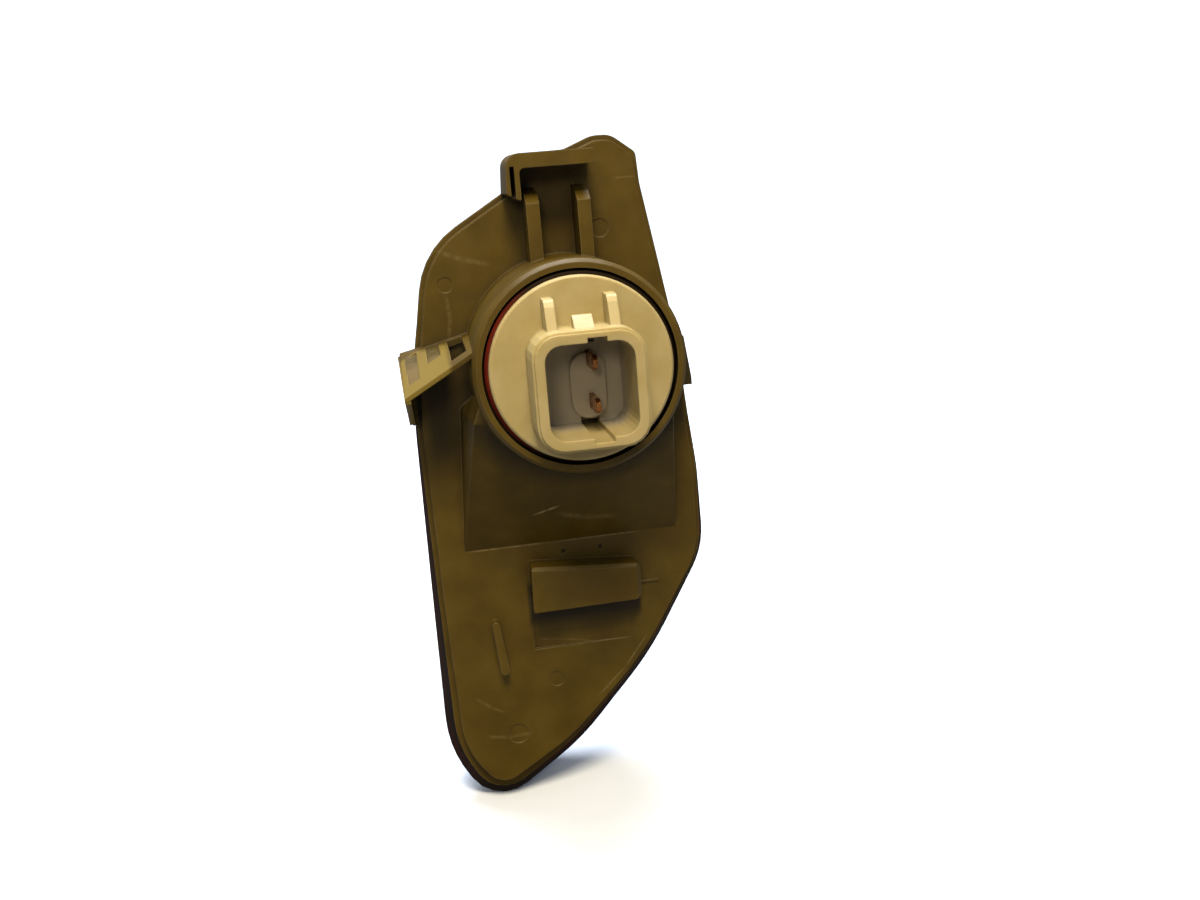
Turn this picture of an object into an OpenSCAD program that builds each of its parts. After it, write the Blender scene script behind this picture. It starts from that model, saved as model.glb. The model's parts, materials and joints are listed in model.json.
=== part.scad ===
// Rear bumper lamp: a moulded housing with a welded lens, and a bulb holder that turns to unlock.
// Everything is drawn as seen from the car side: x to the right, y up the lamp and z out of its
// back, from the point where the bulb axis crosses the back of the housing plate.
// stand_up() then turns the drawing so that the lamp stands with its length along Z.

/* [Lamp outline] */
// Height of the top edge above the bulb axis
body_top = 44; // [42:0.2:52]
// Depth of the lower tip's corner below the bulb axis
body_foot = 98.6; // [94:0.2:120]
// Bulb axis to the left edge at its widest
body_left = 32.3; // [31:0.1:36]
// Width of the lamp at its widest
body_w = 59; // [57.9:0.1:66]
// Depth of the lamp from the crown of its lens to the mouth of the plug shroud
lamp_depth = 62.4; // [61.6:0.2:70]
// Bulb axis to the right edge of the top tab
tab_right = 18.3; // [17:0.1:21]
// Bulb axis to the left edge of the top tab
tab_left = 9.4; // [8.6:0.1:14]
// Height of the shoulder on the left
shoulder_y = 23.7; // [20:0.1:28]
// Depth of the hip on the right, where the long lower edge begins
hip_y = 46.3; // [42:0.1:52]

/* [Housing shell] */
// Thickness of the back plate
plate_t = 2.2; // [1.6:0.1:3]
// Step from the plate down to the edge flange
step_h = 2; // [1:0.1:3]
// Thickness of the edge flange
flange_t = 2.2; // [1.6:0.1:3]
// Width of the edge flange along the sides
flange_w = 1.1; // [0.9:0.1:2]
// Extra width of the edge flange at the lower tip
flange_tip_w = 1.5; // [0:0.1:2.4]
// Wall inside the step
wall_t = 2; // [1.4:0.1:2.6]

/* [Collar and bulge] */
// Height of the collar rim above the plate
collar_h = 21.2; // [19:0.1:24]
// Outer radius of the collar
collar_r = 21; // [20.6:0.1:23]
// Wall of the collar above its shelf
collar_wall = 1.8; // [1.2:0.1:2.2]
// Depth of the collar rim above its shelf
collar_depth = 3.6; // [3:0.1:5]
// Thickness of the shelf that the bayonet lugs lock under
shelf_t = 2.4; // [2:0.1:3]
// Distance of the bulge's lower edge from the bulb axis
bulge_foot_y = 40; // [38:0.5:42]
// Draft of the bulge's side walls
bulge_draft = 4.5; // [2:0.5:6]

/* [Hood bracket] */
// Height of the hood's walls above the plate
hood_h = 11; // [8:0.5:15]
// Thickness of the hood's top wall
hood_wall = 2.9; // [1.8:0.1:3.4]
// Bulb axis to the right end of the hood's top wall
hood_right = 7.6; // [6.5:0.1:9]
// Height of the two stiffening ribs
rib_h = 8; // [5:0.5:12]
// Thickness of the two stiffening ribs
rib_t = 2.7; // [1.6:0.1:3.2]
// Distance between the two stiffening ribs
rib_pitch = 10.3; // [9:0.1:12]

/* [Snap brackets] */
// Height of the snap brackets above the plate
snap_h = 18; // [14:0.5:19]
// Thickness of their walls
snap_t = 0.9; // [0.8:0.1:1.4]
// How far the left bracket stands out past the edge
snap_out = 2; // [1:0.1:2.5]
// Depth of the catch ledge below the cross wall
catch_drop = 11; // [8:0.5:13]

/* [Hook tab] */
// Width of the hook tab
hook_w = 23.8; // [16:0.2:25]
// Depth of its lower edge below the bulb axis
hook_y = 53.7; // [52.5:0.1:58]
// Length of the tab along the lamp
hook_l = 10; // [8:0.5:11]
// Height of its face above the plate
hook_h = 6; // [4.6:0.2:8]
// Thickness of the lip that hooks over the bumper's edge
hook_lip = 2.4; // [1.8:0.1:3]

/* [Lens] */
// Thickness of the lens
lens_t = 2.2; // [1.6:0.1:2.8]
// How much further its side wall leans in at the top of the lamp
lens_lean = 0.8; // [0:0.1:1.2]
// How far the lens edge stands proud of the housing at the lower tip
lens_proud = 2.2; // [0.6:0.1:3]
// Radius of the lens front's curve across the lamp
lens_across_r = 140; // [110:5:400]
// Radius of the lens front's curve along the lamp
lens_along_r = 450; // [380:10:900]

/* [Reflector and reflex panel] */
// Thickness of the reflector and of the reflex panel
reflector_t = 1.6; // [1.2:0.1:2]
// Distance of its neck in front of the plate, on the axis
bowl_back = -0.5; // [-0.8:0.1:0.5]
// Distance of its rim land behind the crown of the lens
land_drop = 14; // [13.8:0.2:16]
// Gap between the reflector and the reflex panel
panel_gap = 1.2; // [0.6:0.1:3]
// Gap between their side walls and the step wall of the housing
skirt_gap = 1.8; // [1.4:0.1:2.2]
// Pitch of the panel's prisms
prism_pitch = 4; // [3:0.5:6]

/* [Bulb holder] */
// Gap round the holder flange, inside the collar
rim_gap = 1.2; // [0.8:0.1:2]
// Height of the flange face above the plate
holder_face = 22.8; // [22:0.1:23.6]
// Thickness of the flange
holder_flange_t = 1.6; // [1.2:0.1:2]
// Radius of the bayonet barrel
barrel_r = 13.2; // [12.8:0.1:13.8]
// Length of the barrel in front of the flange face
barrel_l = 19.8; // [17:0.1:21]
// How far the three bayonet lugs stand out of the barrel
lug_out = 2.8; // [2:0.1:3.2]
// Width of a lug
lug_w = 7; // [5:0.5:8]
// Turn from locked to unlocked
unlock_turn = 45; // [40:1:50]
// Running clearance between the holder and the housing
holder_gap = 0.4; // [0.3:0.05:0.5]

/* [Plug shroud] */
// Width of the shroud
shroud_w = 21.5; // [20:0.1:23]
// Height of the shroud
shroud_l = 22.5; // [21:0.1:24]
// Height of its mouth above the back plate
plug_reach = 34; // [32:0.5:38]
// Thickness of its wall
shroud_wall = 2.3; // [1.6:0.1:2.6]
// Depth of the plug cavity from the mouth
shroud_depth = 17; // [15:0.5:18]
// Distance of the shroud's middle below the bulb axis
shroud_drop = 2.6; // [1.5:0.1:3]
// Width of the two key grooves
key_w = 3.7; // [2.5:0.1:4.5]
// Distance of the blades and key grooves to the right of the axis
key_x = 1.6; // [0:0.1:2]
// Distance between the two blades
blade_pitch = 8.4; // [7:0.1:9]
// Thickness of a blade
blade_t = 0.9; // [0.6:0.1:1]
// Width of a blade
blade_w = 2.8; // [2:0.1:3.2]
// Length of a blade above the cavity floor
blade_l = 9; // [6:0.5:10]
// Length of the clips that grip the bulb
clip_l = 8; // [6:0.5:9]

/* [Bulb] */
// Overall length of the bulb
bulb_l = 38; // [36:0.5:39]
// Radius of the glass
bulb_r = 9.6; // [9:0.1:10]
// Width of the wedge base
wedge_w = 15.6; // [15:0.1:16]
// Thickness of the wedge base
wedge_t = 2.6; // [2.2:0.1:3]
// Distance of the filament from the base's end
light_l = 28.6; // [27.5:0.1:29.5]

/* [Hidden] */
arc_steps = 5;
eps = 0.01;
// How deep the features that stand on the plate reach into it
sink = 1;

body_right = body_w - body_left;
lens_crown = lamp_depth - plug_reach;
land_z = lens_crown - land_drop;
far = 2 * body_foot;

plate_front = -plate_t;
flange_back = -step_h;
flange_front = -step_h - flange_t;
shelf_top = collar_h - collar_depth;
shelf_under = shelf_top - shelf_t;
bulge_slope = 0.618;
collar_bore_r = collar_r - collar_wall;
holder_r = collar_bore_r - rim_gap;
shroud_h = plug_reach - holder_face;

shroud_floor = holder_face + shroud_h - shroud_depth;
socket_floor = shroud_floor - 2.5;
web_t = 0.8;
base_end = socket_floor - web_t - 0.3;
barrel_end = holder_face - barrel_l;
blade_upper_y = blade_pitch / 2 - 2.9;
blade_x = key_x + 0.5;
blade_lower_y = blade_upper_y - blade_pitch;
clip_x = 5;
clip_w = 2.4;
web_w = 3;
leaf_t = 0.5;
lead_d = 0.4;
filament_z = base_end - light_l;
bulb_tip = base_end - bulb_l;
glass_t = 0.8;
seat_y = wedge_t / 2 + lead_d + 1.2;
focal = -bowl_back - filament_z;
neck_r = bulb_r + 2.9;

// Corners of the outline, anticlockwise from the top right: x, y and the radius of the rounding
body_corners = [
  [tab_right - 0.1, body_top - 3.9, 1.8],
  [tab_right - 5.2, body_top, 4.5],
  [tab_right - 9, body_top, 5],
  [tab_right - 14.9, body_top - 2.3, 4],
  [-tab_left, body_top - 2.5, 2.8],
  [-tab_left - 0.4, body_top - 10, 1.2],
  [4.9 - body_left, shoulder_y, 18],
  [0.9 - body_left, 1.5, 80],
  [-body_left, -12, 120],
  [0.6 - body_left, -55, 300],
  [1.1 - body_left, 12.6 - body_foot, 25],
  [9.3 - body_left, -body_foot, 7],
  [body_right - 31.2, 12.1 - body_foot, 50],
  [body_right - 13.8, 30.2 - body_foot, 70],
  [body_right - 0.1, -hip_y, 18],
  [body_right, -28, 60],
  [body_right - 2.5, 2, 100],
  [tab_right + 0.3, body_top - 10.2, 15]
];

// The lens follows the same outline without the small steps of the top tab
lens_corners = [
  [tab_right, body_top - 1.9, 6.5],
  [tab_right - 9, body_top - 1.3, 9],
  [0.4 - tab_left, body_top - 3.2, 5],
  [-tab_left - 0.4, body_top - 10.4, 4],
  [4.9 - body_left, shoulder_y, 18],
  [0.9 - body_left, 1.5, 80],
  [-body_left, -12, 120],
  [0.6 - body_left, -55, 300],
  [1.1 - body_left, 12.6 - body_foot, 25],
  [9.3 - body_left, -body_foot, 8],
  [body_right - 31.2, 12.1 - body_foot, 50],
  [body_right - 13.8, 30.2 - body_foot, 70],
  [body_right - 0.1, -hip_y, 18],
  [body_right, -28, 60],
  [body_right - 2.5, 2, 100],
  [tab_right + 0.3, body_top - 10.2, 15]
];

function toward(a, b) = let (d = [b.x - a.x, b.y - a.y]) d / norm(d);
function turn_of(a, b) = a.x * b.y - a.y * b.x;
function before(c, i) = c[(i + len(c) - 1) % len(c)];
function after(c, i) = c[(i + 1) % len(c)];
function inward(a, b) = let (d = toward(a, b)) [-d.y, d.x];

// Corner i moved in by d, with its rounding kept parallel
function moved_in(c, i, d) =
  let (
    n1 = inward(before(c, i), c[i]),
    n2 = inward(c[i], after(c, i)),
    p = [c[i].x, c[i].y] + (n1 + n2) * d / (1 + n1 * n2),
    convex = turn_of(toward(before(c, i), c[i]), toward(c[i], after(c, i))) > 0
  )
  [p.x, p.y, max(0.4, c[i].z + (convex ? -d : d))];

function inset(c, d) = [for (i = [0 : len(c) - 1]) moved_in(c, i, d)];

// The flange is wider round the lower tip, the lens edge stands further out toward the tip,
// and the lens leans in toward the top
function tip_share(y) = min(1, max(0, -y / body_foot));
function top_share(y) = min(1, max(0, y / (0.5 * body_top)));
function edge_width(y) = flange_w + flange_tip_w * max(0, tip_share(y) - 0.8) * 5;
function edge_proud(y) = 0.1 + lens_proud * tip_share(y) - 0.5 * top_share(y);
function plate_corners() =
  [for (i = [0 : len(body_corners) - 1]) moved_in(body_corners, i, edge_width(body_corners[i].y))];
function lens_edge_corners() =
  [for (i = [0 : len(lens_corners) - 1])
    moved_in(lens_corners, i, -edge_proud(lens_corners[i].y))];

// The arc that rounds corner p between its neighbours a and b
function corner_arc(a, p, b) =
  let (
    u = toward(p, a),
    w = toward(p, b),
    half = acos(u * w) / 2,
    room = 0.49 * min(norm([a.x - p.x, a.y - p.y]), norm([b.x - p.x, b.y - p.y])),
    reach = min(p.z / tan(half), room),
    centre = [p.x, p.y] + (u + w) / norm(u + w) * reach / cos(half),
    first = [p.x, p.y] + u * reach - centre,
    last = [p.x, p.y] + w * reach - centre,
    sweep = sign(turn_of(first, last)) * (180 - 2 * half)
  )
  [for (k = [0 : arc_steps])
    let (t = sweep * k / arc_steps)
    centre + [first.x * cos(t) - first.y * sin(t), first.x * sin(t) + first.y * cos(t)]];

function rounded(c) = [for (i = [0 : len(c) - 1]) each corner_arc(before(c, i), c[i], after(c, i))];

module stand_up() {
  rotate([90, 0, 180]) children();
}

// A flat slab of an outline between two heights
module slab(corners, low, high) {
  translate([0, 0, low]) linear_extrude(high - low) polygon(rounded(corners));
}

// A box between two opposite corners
module block(a, b) {
  translate([min(a.x, b.x), min(a.y, b.y), min(a.z, b.z)])
    cube([abs(b.x - a.x), abs(b.y - a.y), abs(b.z - a.z)]);
}

// The convex solid around a few points
module around(points) {
  hull() polyhedron(points, [for (i = [1 : len(points) - 2]) [0, i, i + 1]]);
}

// A wall that follows a side view drawn in y and z, between two x
module side_view(x0, x1, points) {
  translate([x1, 0, 0]) rotate([90, 0, -90]) linear_extrude(x1 - x0)
    polygon([for (p = points) [-p.x, p.y]]);
}

// The bulge below the collar: a drafted box whose back slopes down from the collar to the plate
module bulge(skin) {
  foot = -bulge_foot_y + skin * 1.6;
  left_foot = -25.4 + skin;
  right_foot = 21 - skin;
  left_top_y = -9.3;
  right_top_y = -15.7;
  left_z = bulge_slope * (left_top_y - foot) - skin * 0.2;
  right_z = bulge_slope * (right_top_y - foot) - skin * 0.2;
  lean = tan(bulge_draft);
  low = skin > 0 ? flange_front - 1 : -sink;
  drop = low / bulge_slope;
  around([
    [left_foot + low * lean, foot + drop, low], [right_foot - low * lean, foot + drop, low],
    [left_foot + 2.3 + low * lean, left_top_y, low], [left_foot + 2.3 + left_z * lean, left_top_y, left_z],
    [right_foot - 1.2 - low * lean, right_top_y, low], [right_foot - 1.2 - right_z * lean, right_top_y, right_z],
    [-12, 0, low], [12, 0, low], [-12, 0, left_z], [12, 0, left_z],
    [skin + 2.2 - collar_r, -2.4, left_z], [collar_r - skin - 2.2, -3.6, right_z + 2]
  ]);
}

module collar() {
  cylinder(h = collar_h - 0.9, r = collar_r, $fn = 96);
  translate([0, 0, collar_h - 0.9]) cylinder(h = 0.9, r1 = collar_r, r2 = collar_r - 0.7, $fn = 96);
}

// Top bracket: a thick top wall, a thin left wall with a slot beside it, and two ribs down to the collar
module hood() {
  top = body_top - 2.6;
  left = -tab_left - 0.5;
  inner_left = left + 2.4;
  translate([0, 0, -sink]) linear_extrude(hood_h + sink) difference() {
    polygon(rounded([
      [hood_right, top, 0.5], [left, top, 2.6], [left - 0.5, top - 7.6, 0.3],
      [inner_left, top - 9.2, 0.3], [inner_left, top - hood_wall, 1], [hood_right, top - hood_wall, 0.3]
    ]));
    translate([left + 0.5, top - 9.5]) square([0.9, 7]);
  }
  for (side = [-1, 1])
    side_view(side * rib_pitch / 2 - rib_t / 2, side * rib_pitch / 2 + rib_t / 2, [
      [collar_r - 3, -sink], [body_top - 9.2, -sink], [body_top - 10.6, rib_h - 2.2],
      [body_top - 12.4, rib_h], [collar_r - 3, rib_h]
    ]);
}

// Left snap bracket: a cross wall with two windows, an outer wall and its catch ledge
module snap_left() {
  outer = -body_left - snap_out;
  foot_out_y = 2.9;
  tip_y = -3.3;
  difference() {
    hull() {
      translate([1.4 - collar_r, 6.2, -sink]) cylinder(h = eps, r = snap_t / 2, $fn = 32);
      translate([1.4 - collar_r, 4.6, snap_h - eps]) cylinder(h = eps, r = snap_t / 2, $fn = 32);
      translate([outer + snap_t / 2, foot_out_y, flange_back - sink]) cylinder(h = eps, r = snap_t / 2, $fn = 32);
      translate([outer + snap_t / 2, tip_y, snap_h - eps]) cylinder(h = eps, r = snap_t / 2, $fn = 32);
    }
    // Windows: x from the outer end, width, and the height of their lower and upper edges
    for (w = [[1.2, 2.2, 1.6, 4.2], [5.4, 2.6, 0.6, 8], [9.8, 3.1, 0.8, 2.4]])
      translate([outer + w[0], -12, w[2]]) cube([w[1], 30, snap_h - w[2] - w[3]]);
  }
  low = -catch_drop;
  translate([outer, tip_y, 0]) rotate(4) translate([-outer, -tip_y, 0])
    side_view(outer, outer + snap_t + 0.3, [
      [foot_out_y - 0.3, flange_back - sink], [tip_y + 0.3, snap_h - 0.1], [tip_y - 0.9, snap_h - 0.1],
      [low + 3, 8], [low, 3], [low, flange_back - sink]
    ]);
}

// Right snap lug: a wedge that grows outward and ends in a downward ledge
module snap_right() {
  outer = body_right - 2.2;
  hull() {
    block([collar_r - 2, 2.6, flange_back - sink], [collar_r + 1, 3.4, snap_h - 3]);
    block([collar_r - 2, -7.6, flange_back - sink], [outer, -6, snap_h / 2]);
  }
  block([collar_r - 3, -7.4, -sink], [collar_r + 0.6, -6.2, snap_h - 4]);
}

// Hook tab: a stem with a lip over a slot, rounded at its right end
module hook() {
  left = -12.2;
  low = -hook_y;
  difference() {
    translate([0, 0, -sink]) linear_extrude(hook_h + sink) polygon(rounded([
      [left + hook_w, low + hook_l - 1.9, 1.4], [left + 0.3, low + hook_l, 0.6],
      [left, low, 0.5], [left + hook_w - 0.2, low + 0.3, 1.6]
    ]));
    block([left - 1, low - 1, -2 * sink], [left + hook_w - 1.4, low + hook_l - 4.4, hook_h - hook_lip]);
    // Rounded right end and upper edge
    translate([left + hook_w - 1.2, low - 1, hook_h + 0.01]) rotate([0, 45, 0]) cube([3, hook_l + 2, 3]);
    translate([left - 1, low + hook_l + 0.1, hook_h - 0.6]) rotate([45 + 4.6, 0, -4.6]) cube([hook_w + 3, 2, 2]);
  }
  // Low rib from the tab to the edge
  block([left + hook_w - 1, low + 1.9, -sink], [left + hook_w + 4.6, low + 2.4, 0.35]);
}

// The small locating rib low on the left, deeper toward its round end
module locating_rib() {
  hull() {
    translate([-20.3, -56.8, -sink]) cylinder(h = sink + 1.9, r = 0.8, $fn = 32);
    translate([-19.3, -67, -sink]) cylinder(h = sink + 2.7, r = 0.95, $fn = 32);
  }
}

// A bayonet lug, or the notch it passes through
module lug(grow, low, high) {
  intersection() {
    translate([0, -lug_w / 2 - grow, low]) cube([30, lug_w + 2 * grow, high - low]);
    translate([0, 0, low]) cylinder(h = high - low, r = barrel_r + lug_out + grow, $fn = 96);
  }
}

// Stub of the gate on the flange, cut off level
module gate_nub() {
  along = atan2(22.1, 13.7);
  translate([body_right - 11.6, -63.2, flange_front + 0.4]) rotate(along)
    block([-2.2, -0.5, 0], [2.2, 0.5, flange_t + 0.5]);
}

// Round marks of the ejector pins, and two dimples above the hook
module moulding_marks() {
  for (m = [[9.2, 25.4, 1.9], [-23.6, 16.6, 1.6], [-17.6, -83, 2.2], [-8, -71.4, 1.7]])
    translate([m.x, m.y, -0.14]) cylinder(h = 1, r = m.z, $fn = 48);
  for (x = [-4.2, 3.9])
    translate([x, hook_l - hook_y + 1.2, -0.6]) cylinder(h = 2, r = 0.45, $fn = 24);
}

module housing() {
  color("#6e5c30") stand_up() difference() {
    union() {
      slab(body_corners, flange_front, flange_back);
      slab(plate_corners(), flange_front, 0);
      collar();
      bulge(0);
      hood();
      snap_left();
      snap_right();
      hook();
      locating_rib();
      gate_nub();
    }
    // Inside of the shell, open to the lens
    slab(inset(plate_corners(), wall_t), flange_front - 1, plate_front);
    difference() {
      bulge(wall_t);
      translate([0, 0, shelf_under]) cylinder(h = 20, r = collar_r + 8, $fn = 64);
    }
    translate([0, 0, flange_front - 1])
      cylinder(h = shelf_under - flange_front + 1, r = collar_r - wall_t, $fn = 96);
    // Recess for the holder flange and the bayonet opening in its shelf
    translate([0, 0, shelf_top]) cylinder(h = 10, r = collar_bore_r, $fn = 96);
    translate([0, 0, shelf_under - 1]) cylinder(h = shelf_t + 2, r = barrel_r + holder_gap, $fn = 96);
    for (a = [0 : 120 : 240])
      rotate(a + 90 + unlock_turn) lug(holder_gap, shelf_under - 1, shelf_top + 1);
    // Recess below the hook, deepest at its left end
    translate([0, 3 - hook_y, 0]) rotate([90, 0, 0]) linear_extrude(13.3)
      polygon([[-12.2, 1], [-12.2, -0.8], [9.5, -0.02], [9.5, 1]]);
    moulding_marks();
  }
}

// Rings of the lens outside, from the weld line to the edge of its front: inset and rise below the crown
wall_rings = [[2, 5.4], [2.3, 3.4], [3, 1.9], [4.2, 0.8], [6.2, 0.2]];
crown_shares = [1, 0.82, 0.62, 0.4, 0.18];
crown_inset = 7.6;
lens_middle = [-2, -20];

// Depth of the lens front at a point: it curves both ways, like the bumper round it
function front_depth(p) =
  lens_crown - pow(p.x - lens_middle.x, 2) / (2 * lens_across_r) - pow(p.y - lens_middle.y, 2) / (2 * lens_along_r);
function outline_at(d) =
  let (c = lens_edge_corners())
  rounded([for (i = [0 : len(c) - 1]) moved_in(c, i, d + lens_lean * top_share(c[i].y))]);
function flat_ring(d, depth) = [for (p = rounded(inset(lens_edge_corners(), d))) [p.x, p.y, -depth]];
function curved_ring(points, rise) = [for (p = points) [p.x, p.y, rise - front_depth(p)]];
function drawn_in(share) = [for (p = outline_at(crown_inset)) lens_middle + (p - lens_middle) * share];

function lens_outside() = concat(
  [flat_ring(0, -flange_front), flat_ring(0, 2.2 - flange_front), flat_ring(0.9, 2.6 - flange_front)],
  [for (r = wall_rings) curved_ring(outline_at(r[0]), r[1])],
  [for (s = crown_shares) curved_ring(drawn_in(s), 0)]);
function lens_inside() = concat(
  [flat_ring(lens_t + 0.8, -flange_front), flat_ring(lens_t + 0.9, 2.6 - flange_front)],
  [for (r = [[2, 4.4], [2.9, 2.2], [4.4, 0.8]]) curved_ring(outline_at(r[0] + lens_t), r[1] + lens_t)],
  [for (s = crown_shares) curved_ring(drawn_in(s), lens_t)]);

// A closed skin through an outer and an inner stack of rings that start on the same plane
module shell_of(outside, inside) {
  n = len(outside[0]);
  a = len(outside);
  b = len(inside);
  function strip(k, flip) = [
    for (i = [0 : n - 1])
      let (j = (i + 1) % n)
      flip ? [k * n + i, k * n + n + i, k * n + n + j, k * n + j]
           : [k * n + i, k * n + j, k * n + n + j, k * n + n + i]
  ];
  polyhedron(
    points = concat([for (r = outside) each r], [for (r = inside) each r]),
    faces = concat(
      [for (k = [0 : a - 2]) each strip(k, false)],
      [[for (i = [0 : n - 1]) (a - 1) * n + i]],
      [for (k = [a : a + b - 2]) each strip(k, true)],
      [[for (i = [n - 1 : -1 : 0]) (a + b - 1) * n + i]],
      [for (i = [0 : n - 1]) let (j = (i + 1) % n) [i, a * n + i, a * n + j, j]]
    ),
    convexity = 6);
}

module lens() {
  color("#5a1418") stand_up() shell_of(lens_outside(), lens_inside());
}

// Outline of the reflector and the panel, clear of the step wall all the way round
inner_corners =
  [for (i = [0 : len(lens_corners) - 1])
    let (y = lens_corners[i].y)
    moved_in(lens_corners, i, edge_width(y) + wall_t + skirt_gap + lens_lean * top_share(y))];

// Keeps what lies above or below the gap between the reflector and the panel
module upper_part() {
  intersection() {
    children();
    block([-far, -bulge_foot_y + 2, -far], [far, far, far]);
  }
}

module lower_part() {
  intersection() {
    children();
    block([-far, -bulge_foot_y + 2 - panel_gap, -far], [far, -far, far]);
  }
}

// Side wall that stands on the inside of the housing plate
module skirt() {
  difference() {
    slab(inner_corners, -land_z, plate_front);
    slab(inset(inner_corners, reflector_t), -land_z - 1, plate_front + 1);
  }
}

function bowl_depth(r) = bowl_back_z() - r * r / (4 * focal);
function bowl_back_z() = -bowl_back;

// Half section of the bowl: the parabola in front, the same curve moved back, and the flat land
module bowl_section() {
  land_r = sqrt(4 * focal * (bowl_back_z() + land_z));
  steps = 12;
  radii = [for (k = [0 : steps]) neck_r + (land_r - neck_r) * k / steps];
  polygon(concat(
    [for (r = radii) [r, bowl_depth(r)]],
    [[far, -land_z], [far, -land_z + reflector_t]],
    [for (k = [steps : -1 : 0]) [radii[k], bowl_depth(radii[k]) + reflector_t]]));
}

module reflector() {
  color("#c9ccd0") stand_up() upper_part() {
    union() {
      intersection() {
        rotate_extrude($fn = 96) bowl_section();
        slab(inner_corners, -land_z, 10);
      }
      skirt();
    }
  }
}

// A field of square pyramids, from two crossed zigzags
module prism_field(low, rise) {
  count = ceil(body_foot / prism_pitch);
  half = count * prism_pitch / 2;
  zigzag = concat(
    [[-half, -eps]],
    [for (i = [0 : count - 1]) each [
      [i * prism_pitch - half, 0], [(i + 0.5) * prism_pitch - half, rise]]],
    [[half, 0], [half, -eps]]);
  translate([0, -bulge_foot_y - half, low]) intersection() {
    translate([0, half, 0]) rotate([90, 0, 0]) linear_extrude(2 * half) polygon(zigzag);
    translate([-half, 0, 0]) rotate([90, 0, 90]) linear_extrude(2 * half) polygon(zigzag);
  }
}

module reflex_panel() {
  color("#8c1a1c") stand_up() {
    lower_part() skirt();
    lower_part() slab(inner_corners, -land_z, -land_z + reflector_t);
    intersection() {
      prism_field(-land_z + reflector_t, prism_pitch * 0.45);
      lower_part() slab(inset(inner_corners, reflector_t + 0.4), -land_z, 0);
    }
  }
}

shroud_y = -shroud_drop;
shroud_top = shroud_y + shroud_l / 2;
guide_t = 2;

module rounded_box(w, l, low, high, r) {
  translate([0, shroud_y, low]) linear_extrude(high - low) polygon(rounded([
    [w / 2, l / 2, r], [-w / 2, l / 2, r], [-w / 2, -l / 2, r], [w / 2, -l / 2, r]
  ]));
}

// Pockets under the cavity floor for the webs of the two terminals
module web_upper(grow, low, high) {
  block([-clip_x - web_w / 2 - grow, blade_upper_y - web_w / 2 - grow, low],
    [blade_x + blade_t / 2 + 0.2 + grow, blade_upper_y + web_w / 2 + grow, high]);
  block([-clip_x - web_w / 2 - grow, -seat_y - grow, low], [web_w / 2 - clip_x + grow, seat_y + grow, high]);
}

module web_lower(grow, low, high) {
  block([blade_x - blade_t / 2 - 0.2 - grow, blade_lower_y - web_w / 2 - grow, low],
    [clip_x + web_w / 2 + grow, blade_lower_y + web_w / 2 + grow, high]);
  block([clip_x - web_w / 2 - grow, blade_lower_y - web_w / 2 - grow, low], [clip_x + web_w / 2 + grow, seat_y + grow, high]);
}

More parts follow.
